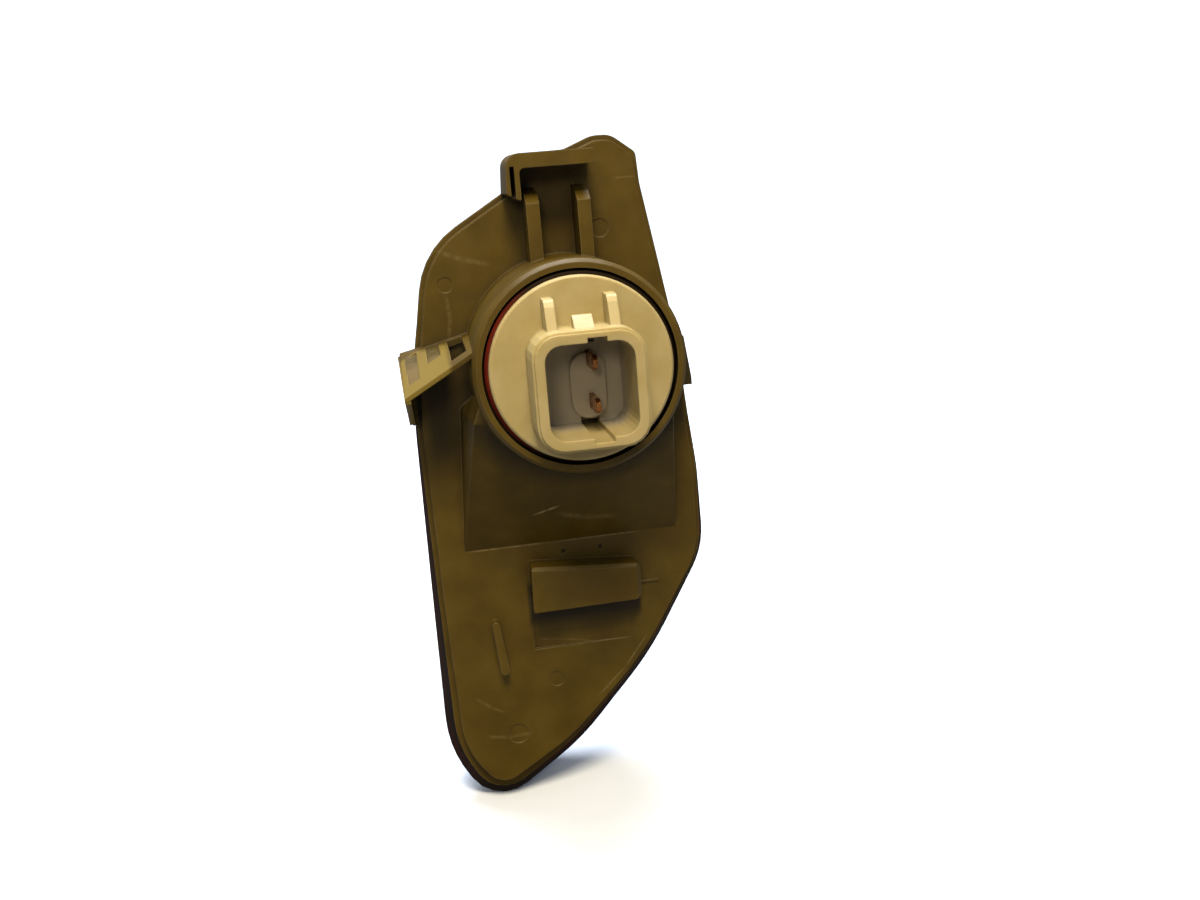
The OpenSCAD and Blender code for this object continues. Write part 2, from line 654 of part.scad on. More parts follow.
module bulb_holder() {
  mouth = holder_face + shroud_h;
  inner_w = shroud_w - 2 * shroud_wall;
  inner_l = shroud_l - 2 * shroud_wall;
  color("#b49c60") stand_up() difference() {
    union() {
      // Flange with a thin raised edge below it that carries the seal
      translate([0, 0, holder_face - holder_flange_t])
        cylinder(h = holder_flange_t - 0.4, r = holder_r, $fn = 96);
      translate([0, 0, holder_face - 0.4])
        cylinder(h = 0.4, r1 = holder_r, r2 = holder_r - 0.4, $fn = 96);
      translate([0, 0, barrel_end]) cylinder(h = barrel_l - 1, r = barrel_r, $fn = 96);
      for (a = [0 : 120 : 240])
        rotate(a + 90) lug(0, shelf_under - 0.3 - 2.2, shelf_under - 0.3);
      rounded_box(shroud_w, shroud_l, holder_face - 0.5, mouth - 0.6, 5);
      rounded_box(shroud_w - 0.9, shroud_l - 0.9, mouth - 0.7, mouth, 4.6);
      // Guide ribs above the shroud, rounded at their upper ends
      for (x = [-6, 6])
        side_view(x - guide_t / 2, x + guide_t / 2, [
          [shroud_top - 1, holder_face - 0.5], [shroud_top + 5.7, holder_face - 0.5],
          [shroud_top + 5.5, holder_face + 3.4], [shroud_top + 5.1, holder_face + 4.2],
          [shroud_top + 4.2, holder_face + 4.8], [shroud_top - 1, holder_face + shroud_h * 0.62]
        ]);
      // Latch wedge on the top wall of the shroud
      side_view(-1.9, 1.9, [
        [shroud_top - 0.5, holder_face + 3], [shroud_top + 2.2, holder_face + 3],
        [shroud_top + 2.2, holder_face + 4.4], [shroud_top + 1.9, holder_face + 4.9],
        [shroud_top - 0.5, holder_face + shroud_h * 0.7]
      ]);
    }
    // Plug cavity and its key grooves, open to the back
    rounded_box(inner_w, inner_l, shroud_floor, mouth + 1, 3.2);
    block([key_x - key_w / 2, shroud_y + inner_l / 2 - 2, shroud_floor - 1],
      [key_x + key_w / 2, shroud_y + inner_l / 2 + 0.9, mouth + 1]);
    block([key_x - key_w / 2, shroud_y - inner_l / 2 + 2, shroud_floor],
      [key_x + key_w / 2, shroud_y - inner_l / 2 - 0.9, mouth + 1]);
    block([key_x - key_w / 2, shroud_y - inner_l / 2 + 1.2, shroud_floor - 3.5],
      [key_x + key_w / 2, shroud_y - inner_l / 2 - 0.9, shroud_floor + 1]);
    // Bulb socket, open to the front, and the slots for the terminals
    block([-wedge_w / 2 - 0.4, -4.4, barrel_end - 1], [wedge_w / 2 + 0.4, 4.4, socket_floor]);
    translate([0, 0, barrel_end - 1]) cylinder(h = 3, r = bulb_r + 0.6, $fn = 64);
    web_upper(0.15, socket_floor - web_t - 0.5, socket_floor);
    web_lower(0.15, socket_floor - web_t - 0.5, socket_floor);
    for (y = [blade_upper_y, blade_lower_y])
      translate([blade_x, y, shroud_floor]) cube([blade_t + 0.1, blade_w + 0.1, 8], center = true);
  }
  color("#b49c60") stand_up() difference() {
    // Raised oblong island round the blades
    translate([0, 0, shroud_floor - 0.2]) linear_extrude(1.4) polygon(rounded([
      [key_x + 3.5, 2.4, 3.4], [key_x - 3.5, 2.4, 3.4], [key_x - 3.5, -10.6, 3.4], [key_x + 3.5, -10.6, 3.4]
    ]));
    for (y = [blade_upper_y, blade_lower_y])
      translate([blade_x, y, shroud_floor]) cube([blade_t + 0.1, blade_w + 0.1, 8], center = true);
  }
}

module holder_seal() {
  seal_low = shelf_top + 0.3;
  seal_high = holder_face - holder_flange_t;
  lip = (seal_high - seal_low) / 2;
  color("#a02818") stand_up() rotate_extrude($fn = 96) polygon([
    [barrel_r + 0.05, seal_low + 0.4], [barrel_r + 1.2, seal_low], [collar_bore_r - 1.6, seal_low],
    [collar_bore_r - 0.5, seal_low + 0.5], [collar_bore_r - 1, seal_low + lip],
    [collar_bore_r - 0.5, seal_high - 0.5], [collar_bore_r - 0.9, seal_high], [barrel_r + 0.05, seal_high]
  ]);
}

// A flat blade with a tapered tip that stands in the plug cavity
module blade(y) {
  top = shroud_floor + blade_l;
  translate([blade_x - blade_t / 2, y, 0]) rotate([90, 0, 90]) linear_extrude(blade_t) polygon([
    [-blade_w / 2, socket_floor - web_t], [blade_w / 2, socket_floor - web_t],
    [blade_w / 2, top - 1.4], [blade_w / 4, top], [-blade_w / 4, top], [-blade_w / 2, top - 1.4]
  ]);
}

// Two leaves that grip the wedge base, bent in at their waist
module bulb_clip(x) {
  waist = wedge_t / 2 + lead_d;
  mouth = waist + 0.7;
  top = socket_floor - web_t + eps;
  bend = top - clip_l * 0.3;
  grip = top - clip_l * 0.62;
  for (side = [-1, 1])
    translate([x - clip_w / 2, 0, 0]) rotate([90, 0, 90]) linear_extrude(clip_w) polygon([
      [side * mouth, top], [side * mouth, bend], [side * waist, grip],
      [side * mouth, top - clip_l], [side * (mouth + leaf_t), top - clip_l],
      [side * (waist + leaf_t), grip], [side * (mouth + leaf_t), bend], [side * (mouth + leaf_t), top]
    ]);
}

module terminal_upper() {
  color("#b87333") stand_up() union() {
    blade(blade_upper_y);
    web_upper(0, socket_floor - web_t, socket_floor);
    bulb_clip(-clip_x);
  }
}

module terminal_lower() {
  color("#b87333") stand_up() union() {
    blade(blade_lower_y);
    web_lower(0, socket_floor - web_t, socket_floor);
    bulb_clip(clip_x);
  }
}

// Half section of the bulb's glass envelope, from its shoulder to its round tip
function envelope(r, high, low) = concat(
  [[0, high]],
  [[r * 0.45, high]],
  [for (t = [90 : -15 : 0]) [r * 0.45 + (r * 0.55) * cos(t), high - 4 + 4 * sin(t)]],
  [for (t = [0 : -10 : -90]) [r * cos(t), low + r * 0.8 + r * 0.8 * sin(t)]]);

module bulb_glass() {
  shoulder = barrel_end - 0.4;
  color("#dfe6e8") stand_up() difference() {
    union() {
      rotate_extrude($fn = 64) polygon(envelope(bulb_r, shoulder, bulb_tip));
      block([-wedge_w / 2, -wedge_t / 2, shoulder - 1], [wedge_w / 2, wedge_t / 2, base_end]);
    }
    rotate_extrude($fn = 64) polygon(envelope(bulb_r - glass_t, shoulder - 1.4, bulb_tip + glass_t));
  }
}

post_x = 4;

module bulb_post(side) {
  low = filament_z - 0.6;
  color("#9a9a9a") stand_up()
    translate([side * post_x, 0, low]) cylinder(h = barrel_end - 1.9 - low, r = 0.3, $fn = 24);
}

// A close-wound filament between the posts, its turns touching
module bulb_filament() {
  wire_r = 0.2;
  coil_r = 0.5;
  span = 2 * (post_x - 0.34);
  turns = floor(span / (1.8 * wire_r));
  pitch = span / turns;
  color("#777777") stand_up() translate([-span / 2, 0, filament_z]) rotate([0, 90, 0])
    rotate_extrude($fn = 24) for (k = [0 : turns - 1])
      translate([coil_r, (k + 0.5) * pitch]) circle(r = pitch * 0.56, $fn = 8);
}

// Lead wire folded up one face of the wedge base
module bulb_lead(side) {
  y = side * (wedge_t / 2 + lead_d / 2);
  color("#9a9a9a") stand_up() {
    translate([side * clip_x, y, barrel_end + 2]) cylinder(h = base_end - barrel_end - 2, r = lead_d / 2, $fn = 16);
  }
}

housing();
lens();
reflector();
reflex_panel();
bulb_holder();
holder_seal();
terminal_upper();
terminal_lower();
bulb_glass();
bulb_post(-1);  // bulb_post_left
bulb_post(1);  // bulb_post_right
bulb_filament();
bulb_lead(-1);  // bulb_lead_left
bulb_lead(1);  // bulb_lead_right
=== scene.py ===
"""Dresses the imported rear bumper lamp: a finish for each moulded, coated and metal piece, and a studio."""

import json
import math

import bmesh
import bpy
from mathutils import Matrix, Vector

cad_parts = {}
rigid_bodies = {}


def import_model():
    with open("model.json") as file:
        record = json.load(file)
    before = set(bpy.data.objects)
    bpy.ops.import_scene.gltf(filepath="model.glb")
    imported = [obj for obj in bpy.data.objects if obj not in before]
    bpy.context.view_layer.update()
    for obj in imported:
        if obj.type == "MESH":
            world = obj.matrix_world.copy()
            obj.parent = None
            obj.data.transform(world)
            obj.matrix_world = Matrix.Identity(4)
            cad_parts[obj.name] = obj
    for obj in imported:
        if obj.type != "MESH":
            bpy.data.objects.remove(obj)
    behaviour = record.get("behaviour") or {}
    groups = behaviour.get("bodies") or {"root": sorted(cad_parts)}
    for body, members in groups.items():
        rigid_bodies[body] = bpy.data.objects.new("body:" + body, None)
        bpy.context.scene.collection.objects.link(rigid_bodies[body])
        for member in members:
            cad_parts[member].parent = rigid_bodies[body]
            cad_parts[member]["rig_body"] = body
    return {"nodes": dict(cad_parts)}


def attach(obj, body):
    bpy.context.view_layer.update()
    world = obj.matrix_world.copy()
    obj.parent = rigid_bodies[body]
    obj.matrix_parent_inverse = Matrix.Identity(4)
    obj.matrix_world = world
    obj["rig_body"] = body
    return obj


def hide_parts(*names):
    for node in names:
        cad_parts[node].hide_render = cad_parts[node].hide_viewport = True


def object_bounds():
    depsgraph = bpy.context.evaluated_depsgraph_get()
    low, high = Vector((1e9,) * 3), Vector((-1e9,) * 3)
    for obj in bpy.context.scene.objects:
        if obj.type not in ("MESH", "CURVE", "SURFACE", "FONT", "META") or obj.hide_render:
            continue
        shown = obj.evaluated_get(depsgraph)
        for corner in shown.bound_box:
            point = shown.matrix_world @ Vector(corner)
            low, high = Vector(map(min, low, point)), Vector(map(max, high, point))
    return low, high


bl_info = {
    "name": "Rear bumper lamp",
    "version": (1, 0, 0),
    "blender": (4, 5, 0),
    "location": "3D View > Sidebar > Lamp",
    "description": "Finishes, small marks and studio for a rear bumper lamp",
    "category": "Object",
}

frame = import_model()
CAD_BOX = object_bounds()
MM = 0.001


def linear(hex_colour):
    """Linear red, green and blue of an sRGB hex colour."""
    parts = [int(hex_colour[i : i + 2], 16) / 255 for i in (1, 3, 5)]
    return tuple(c / 12.92 if c <= 0.04045 else ((c + 0.055) / 1.055) ** 2.4 for c in parts)


def colour(name, description, hex_colour):
    """A colour property."""
    return bpy.props.FloatVectorProperty(
        name=name, description=description, subtype="COLOR", size=3, min=0, max=1, default=linear(hex_colour)
    )


def length(name, description, millimetres):
    """A length property, stored in metres."""
    return bpy.props.FloatProperty(
        name=name, description=description, subtype="DISTANCE", unit="LENGTH", min=0, default=millimetres * MM
    )


def power(name, description, watts):
    """A property for a light's power."""
    return bpy.props.FloatProperty(name=name, description=description, unit="POWER", min=0, default=watts)


# Properties


class LampColours(bpy.types.PropertyGroup):
    housing: colour("Housing", "Moulded grey-olive resin of the housing", "#453605")
    housing_pale: colour("Housing, paler", "Paler cloud in the same resin, and a film of handling dust", "#54440f")
    # Painted shade: darkens the inside corners, the lee of the bracket and of the hook, a crescent under the collar
    # and the holder's notches
    painted_shade: colour("Housing, corners", "Dust and oil in the inside corners of the housing", "#0d0a04")
    # Also the painted highlight along the housing's edges, as well as the real scuffs and flow marks
    scuff_and_edge_highlight: colour("Housing, marks", "Scuffs and flow marks in the resin", "#857652")
    # Painted light: the bracket's thin walls painted paler, as a glow
    painted_glow: colour("Thin walls", "The same resin where a thin wall lets light through", "#6c5c22")
    pane: colour("Bracket panes", "Thin panes in the left bracket", "#5e5030")
    # Painted shade: the panes' darker colour near their foot
    pane_shade: colour("Bracket panes, darker", "Thin panes where less light comes through", "#423919")
    holder: colour("Bulb holder", "Moulded beige resin of the bulb holder, yellowed outside", "#9f9061")
    holder_pale: colour("Bulb holder, paler", "Paler cloud in the beige resin", "#aa9c72")
    # Painted light: the plug cavity painted paler, as light reaching into it
    painted_cavity_light: colour("Bulb holder, inside", "The same resin inside the plug cavity, not yellowed", "#a8a294")
    lens: colour("Lens", "Deep red of the lens", "#4c0508")
    lens_rim: colour("Lens, rim", "The same red where the thick welded rim passes little light", "#1a0503")
    reflex: colour("Reflex panel", "Red of the reflex panel", "#8e0e14")
    seal: colour("Seal", "Silicone of the ring under the holder's flange", "#5c1808")
    # Oily dirt in patches, and also the painted shade on all but the ring's left side
    seal_dirt_and_shade: colour("Seal, dirt", "Oily dirt on the ring, where nothing has wiped it", "#1a1006")
    coating: colour("Reflector", "Aluminium coating of the reflector", "#dcdde0")
    blade: colour("Terminals", "Copper alloy of the terminals", "#c0814c")
    blade_dull: colour("Terminals, tarnished", "Tarnish on the copper alloy", "#7a4a2a")
    wire: colour("Support wires", "Nickel of the bulb's wires", "#a8a6a0")
    filament: colour("Filament", "Tungsten of the filament", "#8a8884")


class LampSizes(bpy.types.PropertyGroup):
    edge: length("Edge radius", "Radius that the mould leaves on outside edges", 0.35)
    grain: length("Moulding grain", "Spacing of the fine grain on the moulded resin", 0.45)
    cloud: length("Cloud", "Size of the cloudy patches in the resin", 9.0)


class StudioSettings(bpy.types.PropertyGroup):
    floor: colour("Floor", "Plain pale floor", "#e0eafb")
    bounce: colour("Bounce", "What the floor throws back onto the lamp", "#6c6c6c")
    fibre: colour("Fibre", "Paler traces of fibre in the floor's paper", "#d9e4f6")
    sky: colour("Surround", "Plain cool white of the light from all round", "#eef6ff")
    warm: colour("Key colour", "Warm white of the large soft light", "#ffeac3")
    key: power("Key light", "Power of the large soft light above", 10.5)
    fill: power("Fill light", "Power of the small soft light beside the camera", 0.6)
    back: power("Back light", "Power of the soft light on the surround", 60.0)
    ambient: bpy.props.FloatProperty(
        name="Ambient", description="Strength of the light from all round", min=0, default=0.45
    )
    floor_radius: length("Floor radius", "Radius of the flat part of the floor", 1600.0)
    floor_rise: length("Floor rise", "Radius of the curve in which the floor rises", 700.0)


# Material helpers


def add(tree, kind, inputs=None, **settings):
    """Adds one node with its settings, and sets or links its inputs."""
    made = tree.nodes.new(kind)
    for key, value in settings.items():
        setattr(made, key, value)
    for key, value in (inputs or {}).items():
        if isinstance(value, bpy.types.NodeSocket):
            tree.links.new(value, made.inputs[key])
        else:
            made.inputs[key].default_value = value
    return made


def rgba(value):
    """A linear colour with full opacity."""
    return (*value, 1.0)


def blank(name, **sockets):
    """A new material and its shader, with the shader's own sockets set."""
    made = bpy.data.materials.new(name)
    made.use_nodes = True
    shader = made.node_tree.nodes["Principled BSDF"]
    for key, value in sockets.items():
        shader.inputs[key.replace("_", " ")].default_value = value
    return made, made.node_tree, shader


def place(tree, factor=(1, 1, 1)):
    """Position on the lamp in metres, stretched along an axis if asked."""
    where = add(tree, "ShaderNodeTexCoord").outputs["Object"]
    if factor == (1, 1, 1):
        return where
    return add(tree, "ShaderNodeMapping", {"Vector": where, "Scale": factor}).outputs["Vector"]


def cloud(tree, size, detail=3.0, factor=(1, 1, 1), rough=0.5):
    """Soft noise whose patches are about `size` metres across."""
    return add(
        tree, "ShaderNodeTexNoise",
        {"Vector": place(tree, factor), "Scale": 1 / size, "Detail": detail, "Roughness": rough},
    ).outputs["Fac"]


def span(tree, value, low, high, to_low=0.0, to_high=1.0):
    """Maps one range of a value to another, held at both ends."""
    return add(
        tree, "ShaderNodeMapRange",
        {"Value": value, "From Min": low, "From Max": high, "To Min": to_low, "To Max": to_high},
    ).outputs["Result"]


def between(tree, share, first, second):
    """Mixes two colours."""
    mix = add(tree, "ShaderNodeMix", data_type="RGBA")
    for socket, value in ((0, share), (6, first), (7, second)):
        if isinstance(value, bpy.types.NodeSocket):
            tree.links.new(value, mix.inputs[socket])
        else:
            mix.inputs[socket].default_value = value
    return mix.outputs[2]


def times(tree, first, second):
    """Multiplies two values."""
    return add(tree, "ShaderNodeMath", {0: first, 1: second}, operation="MULTIPLY").outputs["Value"]


def link(tree, source, shader, socket):
    """Drives a socket of the shader."""
    tree.links.new(source, shader.inputs[socket])


def dress(name, material):
    """Gives a CAD node its finish."""
    node = frame["nodes"][name]
    node.data.materials.clear()
    node.data.materials.append(material)
    return node


def stroke(tree, spot, points, width):
    """Share of 1 on a line of strokes, seen square to the plate, that fades out at its edges; all in metres."""
    share = None
    for (ax, az), (bx, bz) in zip(points, points[1:]):
        long = math.hypot(bx - ax, bz - az)
        middle = ((ax + bx) / 2, 0, (az + bz) / 2)
        turn = (0, -math.atan2(bz - az, bx - ax), 0)
        turned = add(
            tree, "ShaderNodeMapping", {"Vector": spot, "Location": middle, "Rotation": turn}, vector_type="TEXTURE"
        ).outputs["Vector"]
        parts = split(tree, turned)
        along = add(tree, "ShaderNodeMath", {0: parts["X"]}, operation="ABSOLUTE").outputs["Value"]
        across = add(tree, "ShaderNodeMath", {0: parts["Z"]}, operation="ABSOLUTE").outputs["Value"]
        ends = span(tree, along, long * 0.3, long * 0.5 + width, 1.0, 0.0)
        sides = span(tree, across, width * 0.2, width * 0.5, 1.0, 0.0)
        part = times(tree, ends, sides)
        if share is None:
            share = part
        else:
            share = add(tree, "ShaderNodeMath", {0: share, 1: part}, operation="MAXIMUM").outputs["Value"]
    return share


def corners(tree, tint, dirt, reach, most):
    """Darkens a colour with painted shade in the inside corners that other walls stand close to."""
    open_share = add(tree, "ShaderNodeAmbientOcclusion", {"Distance": reach}, samples=6).outputs["AO"]
    return between(tree, span(tree, open_share, 0.2, 0.68, most, 0.0), tint, rgba(dirt))


def edges(tree, tint, pale, radius, most):
    """Paints a highlight: lightens a colour in an uneven thin line along edges, found where a rounded normal leaves
    the true one.
    """
    rounded = add(tree, "ShaderNodeBevel", {"Radius": radius}, samples=6).outputs["Normal"]
    true = add(tree, "ShaderNodeNewGeometry").outputs["Normal"]
    same = add(tree, "ShaderNodeVectorMath", {0: rounded, 1: true}, operation="DOT_PRODUCT").outputs["Value"]
    line = span(tree, same, 0.7, 0.97, 1.0, 0.0)
    uneven = span(tree, cloud(tree, 7 * MM, 4.0), 0.35, 0.6, most * 0.3, most)
    return between(tree, times(tree, line, uneven), tint, rgba(pale))


def inside(tree, parts, axis, low, high, soft):
    """Share of 1 between two places along an axis, fading over a short length; all in metres."""
    rise = span(tree, parts[axis], low - soft, low)
    fall = span(tree, parts[axis], high, high + soft, 1.0, 0.0)
    return times(tree, rise, fall)


def boxed(tree, parts, most, spans):
    """Share of `most` inside a box and 0 outside it; each span is an axis, low, high and fade in millimetres."""
    share = most
    for axis, low, high, soft in spans:
        share = times(tree, share, inside(tree, parts, axis, low * MM, high * MM, soft * MM))
    return share


def split(tree, vector):
    """The X, Y and Z outputs of a vector."""
    return add(tree, "ShaderNodeSeparateXYZ", {"Vector": vector}).outputs


def bumped(tree, height, strength, distance, normal=None):
    """Normal with a small relief, on top of another normal if one is given."""
    inputs = {"Height": height, "Strength": strength, "Distance": distance}
    if normal is not None:
        inputs["Normal"] = normal
    return add(tree, "ShaderNodeBump", inputs).outputs["Normal"]


def moulded(name, base, pale, edge, grain, patch, roughness, specular):
    """Injection-moulded resin: faint clouds, a fine grain and the small radius that the mould leaves on edges."""
    material, tree, shader = blank(name, IOR=1.53, Metallic=0.0, Specular_IOR_Level=specular)
    share = span(tree, cloud(tree, patch), 0.35, 0.75)
    link(tree, between(tree, share, rgba(base), rgba(pale)), shader, "Base Color")
    dull = cloud(tree, patch * 0.4, 5.0)
    link(tree, span(tree, dull, 0.3, 0.7, roughness - 0.06, roughness + 0.08), shader, "Roughness")
    rounded = add(tree, "ShaderNodeBevel", {"Radius": edge}, samples=4).outputs["Normal"]
    waves = bumped(tree, cloud(tree, 6 * MM, 2.0), 0.12, 0.5 * MM, rounded)
    link(tree, bumped(tree, cloud(tree, grain, 2.0), 0.22, 0.05 * MM, waves), shader, "Normal")
    return material, tree, shader


# Marks on the housing, in millimetres: width, strength and points, across to the photograph's right
# and up from the bulb's axis
MARKS = (
    (0.65, 1.0, [(-10.2, -32.5), (-5.1, -31.0)]),
    (1.5, 0.3, [(-4.7, -33.1), (0.7, -34.6), (6.6, -35.2)]),
    (1.3, 0.22, [(-23.9, 23.3), (-19.4, 21.4), (-14.8, 20.1)]),
    (1.1, 0.2, [(-23.6, 14.0), (-23.2, 9.6), (-23.8, 6.4)]),
    (1.0, 0.22, [(-24.0, -82.8), (-19.6, -83.6), (-15.2, -83.3)]),
    (0.5, 0.3, [(12.8, 35.2), (17.4, 35.2)]),
    (0.35, 0.35, [(-11.0, -62.0), (-5.4, -62.7), (0.4, -63.8)]),
    (0.8, 0.2, [(-25.8, -73.8), (-22.8, -76.2), (-20.2, -77.5)]),
    (0.45, 0.5, [(1.0, -76.6), (7.4, -70.8), (12.6, -64.2)]),
    (0.5, 0.55, [(-25.3, -40.2), (-6.0, -40.2), (13.2, -40.1)]),
)


# Where the left bracket's thin walls are painted paler, as light coming through them: axis, and the two ends of the
# fade in millimetres
PAINTED_GLOW_BOX = (("X", 24.4, 25.4), ("Z", -15.5, -12.5), ("Y", 0.6, 1.6))

# Painted shadow in the lee of the bracket and of the hook: strength, then axis, low, high and fade in millimetres
PAINTED_SHADOWS = (
    (0.62, (("X", 20, 29, 1.5), ("Y", -5, 2.5, 1.5), ("Z", -14, 1, 10))),
    (0.8, (("X", -11.6, 12.4, 0.6), ("Y", -5, 0.6, 0.6), ("Z", -57.2, -50, 2.6))),
)

# Painted shadow in a crescent under the collar: strength, and distances from the bulb's axis in millimetres
SHADOW_CRESCENT = (0.8, 21.1, 21.6, 22, 27)


class LAMP_OT_housing(bpy.types.Operator):
    """Finish the moulded housing"""

    bl_idname = "lamp.housing"
    bl_label = "Housing"

    def execute(self, context):
        c, s = context.scene.lamp_colours, context.scene.lamp_sizes
        # Moulded ABS from a finely eroded mould: satin, with faint clouds where the resin flowed
        material, tree, shader = moulded(
            "moulded_grey_abs", c.housing, c.housing_pale, s.edge, s.grain, s.cloud, 0.46, 0.25
        )
        tint = shader.inputs["Base Color"].links[0].from_socket
        spot = place(tree)
        parts = split(tree, spot)
        # Painted light: the left bracket's thin walls are painted far paler, as a glow from light coming through
        # them
        thin = 1.0
        for axis, low, high in PAINTED_GLOW_BOX:
            thin = times(tree, thin, span(tree, parts[axis], low * MM, high * MM))
        tint = between(tree, thin, tint, rgba(c.painted_glow))
        # Painted shade in the inside corners, where other walls stand close
        tint = corners(tree, tint, c.painted_shade, 5 * MM, 0.85)
        # Painted shadow in the lee of the bracket and of the hook, and in a crescent under the collar
        for most, spans in PAINTED_SHADOWS:
            tint = between(tree, boxed(tree, parts, most, spans), tint, rgba(c.painted_shade))
        # Painted shadow: a dark crescent just outside the collar, below the bulb's axis
        flat = add(tree, "ShaderNodeVectorMath", {0: spot, 1: (1, 0, 1)}, operation="MULTIPLY").outputs["Vector"]
        away = add(tree, "ShaderNodeVectorMath", {0: flat}, operation="LENGTH").outputs["Value"]
        most, start, full, fade, end = SHADOW_CRESCENT
        share = span(tree, away, fade * MM, end * MM, most, 0.0)
        share = times(tree, share, span(tree, away, start * MM, full * MM))
        share = times(tree, share, span(tree, parts["Z"], -12 * MM, -2 * MM, 1.0, 0.0))
        tint = between(tree, share, tint, rgba(c.painted_shade))
        # Painted highlight: the edges are painted a little paler, as if they caught the light
        tint = edges(tree, tint, c.scuff_and_edge_highlight, 0.45 * MM, 0.55)
        # Scuffs, drag lines and flow marks, broken up where the line is worn
        for width, strength, points in MARKS:
            line = stroke(tree, spot, [(-x * MM, z * MM) for x, z in points], width * MM)
            worn = span(tree, cloud(tree, 1.1 * MM, 3.0), 0.38, 0.62, strength * 0.35, strength)
            tint = between(tree, times(tree, line, worn), tint, rgba(c.scuff_and_edge_highlight))
        link(tree, tint, shader, "Base Color")
        dress("housing", material)
        return {"FINISHED"}


# The left bracket's slanting wall, in millimetres: its outer and inner edge across, its height out of the
# back, and how high its corners stand at the foot and at the top, outer one first
WALL_OUTER, WALL_INNER, WALL_HEIGHT = -33.85, -19.6, 18.0
WALL_FOOT, WALL_TOP = (2.9, 6.2), (-3.3, 4.6)

# Panes in its windows: left, right, foot and top in millimetres, and half of their thickness
PANES = ((-33.3, -30.8, 1.4, 14.0), (-29.1, -26.1, 0.4, 10.2))
PANE_HALF = 0.16
PANE_STEPS = 6

# Web below it: height up the lamp, top, left and right in millimetres, and how deep it starts
WEB = ((-3.6, 5.2, -33.4, -32.0), (-7.4, 3.4, -33.3, -31.9), (-11.4, 1.6, -33.1, -31.8))
WEB_FOOT = -1.6


def wall_point(x, z, off):
    """A point on the left bracket's slanting wall, from millimetres across and out of the back."""
    u, v = (x - WALL_OUTER) / (WALL_INNER - WALL_OUTER), z / WALL_HEIGHT
    foot, top = (outer + (inner - outer) * u for outer, inner in (WALL_FOOT, WALL_TOP))
    return (-x * MM, z * MM, ((1 - v) * foot + v * top + off) * MM)


class LAMP_OT_bracket(bpy.types.Operator):
    """Make the thin panes in the left bracket's windows and the web at its foot"""

    bl_idname = "lamp.bracket"
    bl_label = "Bracket panes"

    def execute(self, context):
        c, s = context.scene.lamp_colours, context.scene.lamp_sizes
        # The same ABS moulded as a thin skin: dull olive beige, with painted shade making it a little darker at its
        # foot
        material, tree, shader = blank(
            "moulded_thin_abs", IOR=1.53, Metallic=0.0, Roughness=0.5, Specular_IOR_Level=0.15
        )
        parts = split(tree, place(tree))
        # Painted shade: darker near the plate
        low = span(tree, parts["Y"], 5 * MM, 8 * MM)
        worn = span(tree, cloud(tree, 1.6 * MM, 3.0), 0.35, 0.65, 0.0, 0.5)
        tint = between(tree, low, rgba(c.pane_shade), rgba(c.pane))
        link(tree, between(tree, worn, tint, rgba(c.pane)), shader, "Base Color")
        link(tree, bumped(tree, cloud(tree, s.grain, 2.0), 0.2, 0.04 * MM), shader, "Normal")
        points, faces = [], []
        steps = PANE_STEPS
        for left, right, foot, top in PANES:
            for off in (PANE_HALF, -PANE_HALF):
                start = len(points)
                for k in range(steps + 1):
                    z = foot + (top - foot) * k / steps
                    points += [wall_point(left, z, off), wall_point(right, z, off)]
                for k in range(steps):
                    a = start + 2 * k
                    quad = [a, a + 1, a + 3, a + 2]
                    faces.append(quad if off > 0 else quad[::-1])
            first, other = start - 2 * (steps + 1), start
            rim = [2 * k for k in range(steps + 1)] + [2 * k + 1 for k in range(steps, -1, -1)]
            for a, b in zip(rim, rim[1:] + rim[:1]):
                faces.append([first + a, other + a, other + b, first + b])
        # Web that joins the outer wall to the flange's edge, thinner toward its lower end
        start = len(points)
        for y, top, left, right in WEB:
            section = ((left, WEB_FOOT), (right, WEB_FOOT), (right, top * 0.5), (left, top))
            points += [(-x * MM, z * MM, y * MM) for x, z in section]
        for k in range(len(WEB) - 1):
            for j in range(4):
                a, b = start + 4 * k + j, start + 4 * k + (j + 1) % 4
                faces.append([a, b, b + 4, a + 4])
        faces += [[first + j for j in range(4)] for first in (start, start + 4 * (len(WEB) - 1))]
        mesh = bpy.data.meshes.new("bracket_panes")
        mesh.from_pydata(points, [], faces)
        work = bmesh.new()
        work.from_mesh(mesh)
        bmesh.ops.recalc_face_normals(work, faces=work.faces)
        work.to_mesh(mesh)
        work.free()
        mesh.materials.append(material)
        panes = bpy.data.objects.new("bracket_panes", mesh)
        context.scene.collection.objects.link(panes)
        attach(panes, "lamp_body")
        return {"FINISHED"}


def smooth_copy(node_name, name, angle):
    """A copy of a CAD node with its facets welded and shaded smooth below an angle."""
    source = frame["nodes"][node_name]
    work = bmesh.new()
    work.from_mesh(source.data)
    bmesh.ops.remove_doubles(work, verts=work.verts, dist=0.002 * MM)
    points = [v.co.copy() for v in work.verts]
    work.verts.index_update()
    faces = [[v.index for v in f.verts] for f in work.faces]
    work.free()
    mesh = bpy.data.meshes.new(name)
    mesh.from_pydata(points, [], faces)
    mesh.polygons.foreach_set("use_smooth", [True] * len(mesh.polygons))
    mesh.set_sharp_from_angle(angle=math.radians(angle))
    piece = bpy.data.objects.new(name, mesh)
    bpy.context.scene.collection.objects.link(piece)
    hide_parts(node_name)
    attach(piece, source["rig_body"])
    return piece


